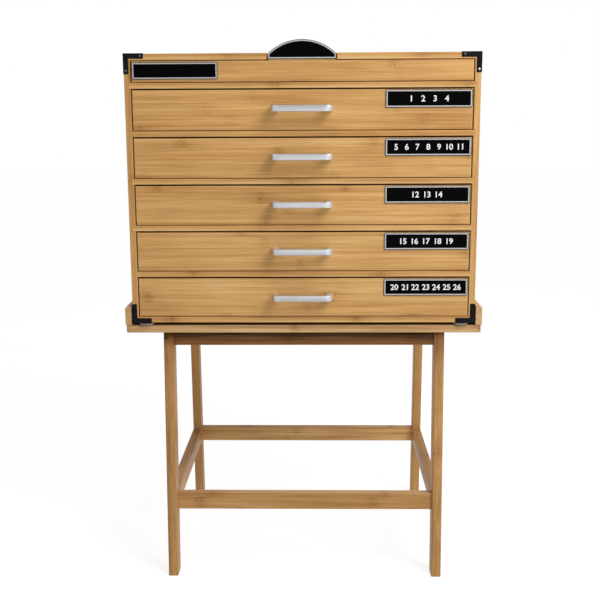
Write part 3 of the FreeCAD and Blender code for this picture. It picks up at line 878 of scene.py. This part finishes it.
def dress_boards():
    for seed, (node, (grain, across)) in enumerate(GRAIN.items(), start=1):
        low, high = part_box(node)
        light, dark = first_fit(TONES, node)
        shades = edge_shades_of(node, low, high)
        dress(node, bamboo("bamboo_" + node, grain, across, light, dark, seed, shades))


dress_boards()
dress("barrel_nuts", zinc)
dress("corner_guards", lacquer)


def dress_plate(node, words, body):
    """Border, enamel field and numbers for one rectangular plate."""
    dress(node, plate_silver(node + "_silver", node))
    low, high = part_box(node)
    xs = (low.x + PLATE_BORDER, high.x - PLATE_BORDER)
    zs = (low.z + PLATE_BORDER, high.z - PLATE_BORDER)
    seat = low.y + PLATE_RECESS
    face = seat - FIELD_THICKNESS

    def top(x):
        return np.full(x.shape, zs[1])

    enamel_field(node + "_field", xs, zs[0], top, seat, face, enamel, body)
    if words:
        centre = (sum(xs) / 2, face - FIELD_CROWN, sum(zs) / 2)
        pitch = NUMBER_PITCH if len(words) < LONG_ROW else LONG_ROW_PITCH
        number_row(node + "_numbers", words, centre, pitch, paint, body)


first_number = 1
for body, count in zip(DRAWERS, NUMBER_GROUPS):
    words = [str(first_number + n) for n in range(count)]
    first_number += count
    dress_plate(body + "_label", words, body)
    pull = bow_pull(body + "_bow", body + "_pull", aluminium, body)
    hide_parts(body + "_pull")
dress_plate("index_badge", [], "index_drawer")


def dome_field():
    """Enamel field of the arched plate: its top follows the plate's arc, drawn in by the border."""
    low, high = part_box("index_dome_plate")
    half = (high.x - low.x) / 2
    radius = (half ** 2 + DOME_RISE ** 2) / (2 * DOME_RISE)
    centre_z = high.z - radius
    dress("index_dome_plate", plate_silver("dome_silver", "index_dome_plate", (centre_z, radius)))
    reach = half - PLATE_BORDER
    seat = low.y + PLATE_RECESS
    face = seat - FIELD_THICKNESS

    def top(x):
        return centre_z + np.sqrt((radius - PLATE_BORDER) ** 2 - x ** 2)

    xs, low_z = (-reach, reach), low.z + PLATE_BORDER
    enamel_field("index_dome_field", xs, low_z, top, seat, face, enamel, "index_drawer")


dome_field()


def guard_nails():
    """Two round-headed nails on the front of each corner guard."""
    low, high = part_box("corner_guards")
    quarter = np.linspace(0.0, np.pi / 2, NAIL_RINGS)
    radii = NAIL_RADIUS / MM * np.cos(quarter) + NAIL_TIP
    profile = list(zip(radii, -NAIL_DOME / MM * np.sin(quarter)))
    far, near = GUARD_REACH - NAIL_END_DISTANCE, GUARD_ARM / 2
    number = 0
    for side, corner_x in ((-1, low.x), (1, high.x)):
        for level, corner_z in ((-1, low.z), (1, high.z)):
            for inward, from_end in ((near, far), (far, near)):
                number += 1
                centre = (corner_x - side * inward, low.y, corner_z - level * from_end)
                metal = nail_steel if level > 0 else lacquer
                if side > 0 and level > 0 and inward == near:
                    metal = zinc
                name = "guard_nail_%d" % number
                turned(name, profile, centre, metal, "chest", NAIL_POINTS)


guard_nails()


def hexagon(rows):
    """Scale of the radius that makes the given rows of a turned piece hexagons."""
    def shape(row, turn):
        flat = np.mod(turn + np.pi / 6, np.pi / 3) - np.pi / 6
        return np.where(np.isin(row, rows), 1.0 / np.cos(flat), 1.0)
    return shape


def pull_screws():
    """Button-headed screws inside each drawer, with a hexagon socket."""
    socket = hexagon(SCREW_SOCKET_ROWS)
    for body in DRAWERS:
        low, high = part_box(body + "_pull")
        inner_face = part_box(body + "_front")[1].y
        for side, place in ((-1, "left"), (1, "right")):
            centre = (side * SCREW_FROM_MIDDLE, inner_face, (low.z + high.z) / 2)
            name = "%s_screw_%s" % (body, place)
            turned(name, SCREW_PROFILE, centre, zinc, body, shape=socket)


def stand_bolts():
    """Cap-head bolts sunk in the legs: shank, head, then the hexagon socket."""
    head_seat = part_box("stand_bolts")[1].x - BOLT_HEAD
    tray_front, tray_rear = (corner.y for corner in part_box("tray_board"))
    middle = (tray_front + tray_rear) / 2
    socket = hexagon(BOLT_SOCKET_ROWS)
    number = 0
    for bar in ("apron_front", "stretcher_front"):
        low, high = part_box(bar)
        front_y = (low.y + high.y) / 2
        for y in (front_y, 2 * middle - front_y):
            for side in (-1, 1):
                number += 1
                name = "stand_bolt_%d" % number
                centre = (side * head_seat, y, (low.z + high.z) / 2)
                bolt = turned(
                    name, BOLT_PROFILE, centre, zinc, "stand",
                    axis="X", side=side, shape=socket,
                )
                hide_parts("stand_bolts")


def bumper_feet():
    """Soft feet: rings from the top's middle over a bulged wall to the flat sole's middle.

    The part of a foot that is under a corner guard is pressed down to the guard's edge.
    """
    low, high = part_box("bumper_feet")
    guard_low, guard_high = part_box("corner_guards")
    share, level = np.array(FOOT_ROWS).T
    angle = np.linspace(0.0, 2.0 * np.pi, FOOT_POINTS, endpoint=False)
    r, turn = np.meshgrid(share * FOOT_RADIUS, angle, indexing="ij")
    rise = np.broadcast_to((level * (high.z - low.z))[:, None], r.shape)
    for side, place in ((-1, "left"), (1, "right")):
        for end, y in (("front", low.y + FOOT_RADIUS), ("rear", high.y - FOOT_RADIUS)):
            px = side * (high.x - FOOT_RADIUS) + side * r * np.cos(turn)
            py = y - r * np.sin(turn)
            pz = low.z + rise
            under_guard = py < guard_high.y + FOOT_CLEARANCE
            pz = np.where(under_guard, np.minimum(pz, guard_low.z), pz)
            points = np.stack([px, py, pz], 2)[:, ::side]
            name = "bumper_%s_%s" % (end, place)
            foot = surface(name, points, silicone_and_sheen, "chest", close_v=True, caps=True)
            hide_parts("bumper_feet")


stand_bolts()
bumper_feet()
pull_screws()


# Setting: pale floor, white backdrop and soft lamps


def pale_floor():
    mesh = bpy.data.meshes.new("floor")
    mesh.from_pydata([(x, y, -FLOOR_DEPTH) for x, y in FLOOR_CORNERS], [], [[0, 1, 2, 3]])
    material, tree, shader = new_material("pale_floor")
    place, _ = object_axes(tree)
    mottle = noise(tree, place, MOTTLE_CELLS)
    colour = blend_colour(tree, mottle, *FLOOR_TONES)
    tree.links.new(colour, shader.inputs["Base Color"])
    shader.inputs["Roughness"].default_value = FLOOR_ROUGHNESS
    shader.inputs["Emission Color"].default_value = WHITE
    ray = tree.nodes.new("ShaderNodeLightPath")
    seen = calc(tree, "MAXIMUM", ray.outputs["Is Camera Ray"], ray.outputs["Is Glossy Ray"])
    glow = calc(tree, "MULTIPLY_ADD", seen, FLOOR_WHITE - FLOOR_BOUNCE, FLOOR_BOUNCE)
    tree.links.new(glow, shader.inputs["Emission Strength"])
    floor = bpy.data.objects.new("floor", mesh)
    bpy.context.scene.collection.objects.link(floor)
    mesh.materials.append(material)


def white_world():
    world = bpy.data.worlds.new("studio")
    bpy.context.scene.world = world
    world.use_nodes = True
    tree = world.node_tree
    background = tree.nodes["Background"]
    background.inputs["Color"].default_value = WHITE
    ray = tree.nodes.new("ShaderNodeLightPath")
    seen = calc(tree, "MAXIMUM", ray.outputs["Is Camera Ray"], ray.outputs["Is Transmission Ray"])
    seen = calc(tree, "MAXIMUM", seen, ray.outputs["Is Glossy Ray"])
    strength = calc(tree, "MULTIPLY_ADD", seen, 1.0 - AMBIENT, AMBIENT)
    tree.links.new(strength, background.inputs["Strength"])


def soft_lamp(name, place, target, size, power):
    """A rectangular lamp at place that shines towards target; size in metres, power in watts."""
    lamp = bpy.data.lights.new(name, "AREA")
    lamp.shape = "RECTANGLE"
    lamp.size, lamp.size_y = size
    lamp.energy = power
    holder = bpy.data.objects.new(name, lamp)
    bpy.context.scene.collection.objects.link(holder)
    holder.location = place
    beam = Vector(target) - Vector(place)
    holder.rotation_euler = beam.to_track_quat("-Z", "Y").to_euler()


pale_floor()
white_world()
for name, lamp in LAMPS.items():
    soft_lamp(name, *lamp)


def place_camera():
    """Camera at the fitted place: yaw about Z, pitch down, then a roll about its own axis."""
    lens = bpy.data.cameras.new("camera")
    lens.lens = CAMERA_LENS
    lens.sensor_width = SENSOR_WIDTH
    lens.clip_end = SIGHT_LIMIT
    camera = bpy.data.objects.new("camera", lens)
    bpy.context.scene.collection.objects.link(camera)
    forward = Vector((-math.sin(CAMERA_YAW), math.cos(CAMERA_YAW), 0.0)) * math.cos(CAMERA_PITCH)
    forward.z = -math.sin(CAMERA_PITCH)
    right = Vector((math.cos(CAMERA_YAW), math.sin(CAMERA_YAW), 0.0))
    up = right.cross(forward)
    cosine, sine = math.cos(CAMERA_ROLL), math.sin(CAMERA_ROLL)
    rolled_right = right * cosine + up * sine
    rolled_up = up * cosine - right * sine
    axes = Matrix((rolled_right, rolled_up, -forward)).transposed().to_4x4()
    place = Vector((CAMERA_X, chest_front - CAMERA_DISTANCE, CAMERA_HEIGHT))
    camera.matrix_world = Matrix.Translation(place) @ axes
    bpy.context.scene.camera = camera


place_camera()
bpy.context.scene.view_settings.view_transform = "Standard"
